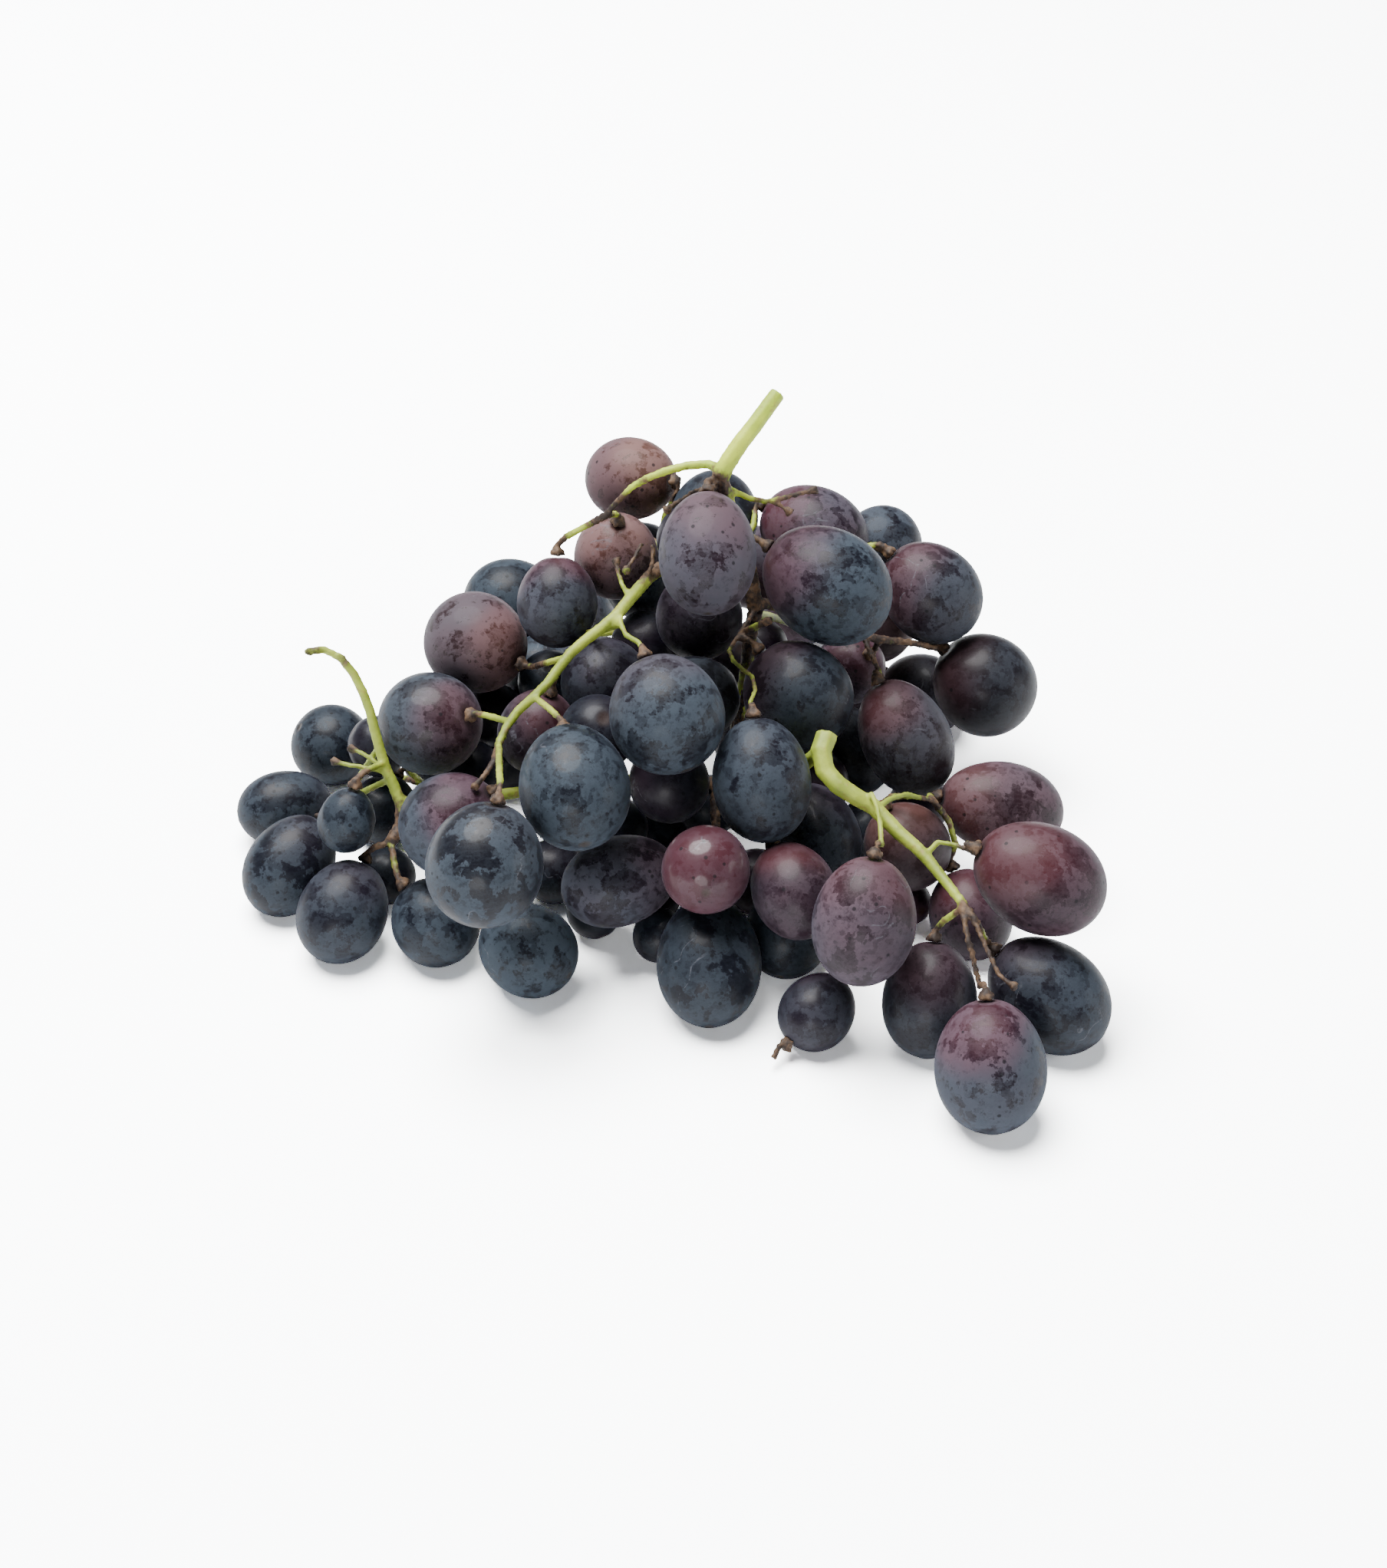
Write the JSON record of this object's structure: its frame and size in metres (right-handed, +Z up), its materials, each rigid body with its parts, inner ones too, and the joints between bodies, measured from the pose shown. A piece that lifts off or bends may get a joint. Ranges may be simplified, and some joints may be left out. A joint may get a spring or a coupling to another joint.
{
  "type": "bunch of grapes",
  "caption": "Bunch of dark oval table grapes on a branching green stem, lying as picked, for dressing a table, fruit bowl or shop display.",
  "frame": {"origin": "on the table, under the middle of the bunch's box", "axes": "+Z up from the table; the picture looks towards +Y and down, with +X to its right"},
  "size_m": [0.197, 0.1978, 0.1074],
  "materials": {
    "grape_skin": "waxy dark blue-violet skin with a grey-blue bloom, rubbed off in patches, redder towards the stalk",
    "stem": "matt pale yellow-green stem with brown dry ends"
  },
  "bodies": {
    "root": {"stem": "stem", "fallen_stalk": "stem", "grape_left_01": "grape_skin", "grape_left_02": "grape_skin", "grape_left_03": "grape_skin", "grape_left_04": "grape_skin", "grape_left_05": "grape_skin", "grape_left_06": "grape_skin", "grape_left_07": "grape_skin", "grape_left_08": "grape_skin", "grape_left_09": "grape_skin", "grape_left_10": "grape_skin", "grape_left_11": "grape_skin", "grape_left_12": "grape_skin", "grape_left_13": "grape_skin", "grape_crown_01": "grape_skin", "grape_crown_02": "grape_skin", "grape_crown_03": "grape_skin", "grape_crown_04": "grape_skin", "grape_crown_05": "grape_skin", "grape_crown_06": "grape_skin", "grape_crown_07": "grape_skin", "grape_crown_08": "grape_skin", "grape_crown_09": "grape_skin", "grape_crown_10": "grape_skin", "grape_crown_11": "grape_skin", "grape_crown_12": "grape_skin", "grape_middle_01": "grape_skin", "grape_middle_02": "grape_skin", "grape_middle_03": "grape_skin", "grape_middle_04": "grape_skin", "grape_middle_05": "grape_skin", "grape_middle_06": "grape_skin", "grape_middle_07": "grape_skin", "grape_middle_08": "grape_skin", "grape_middle_09": "grape_skin", "grape_right_01": "grape_skin", "grape_right_02": "grape_skin", "grape_right_03": "grape_skin", "grape_right_04": "grape_skin", "grape_right_05": "grape_skin", "grape_right_06": "grape_skin", "grape_right_07": "grape_skin", "grape_right_08": "grape_skin", "grape_right_09": "grape_skin", "grape_right_10": "grape_skin", "grape_right_11": "grape_skin", "grape_right_12": "grape_skin", "grape_right_13": "grape_skin", "grape_right_14": "grape_skin", "grape_right_15": "grape_skin", "grape_right_16": "grape_skin", "grape_right_17": "grape_skin", "grape_back_01": "grape_skin", "grape_back_02": "grape_skin", "grape_back_03": "grape_skin", "grape_back_04": "grape_skin", "grape_back_05": "grape_skin", "grape_back_06": "grape_skin", "grape_fallen_01": "grape_skin"}
  },
  "joints": []
}
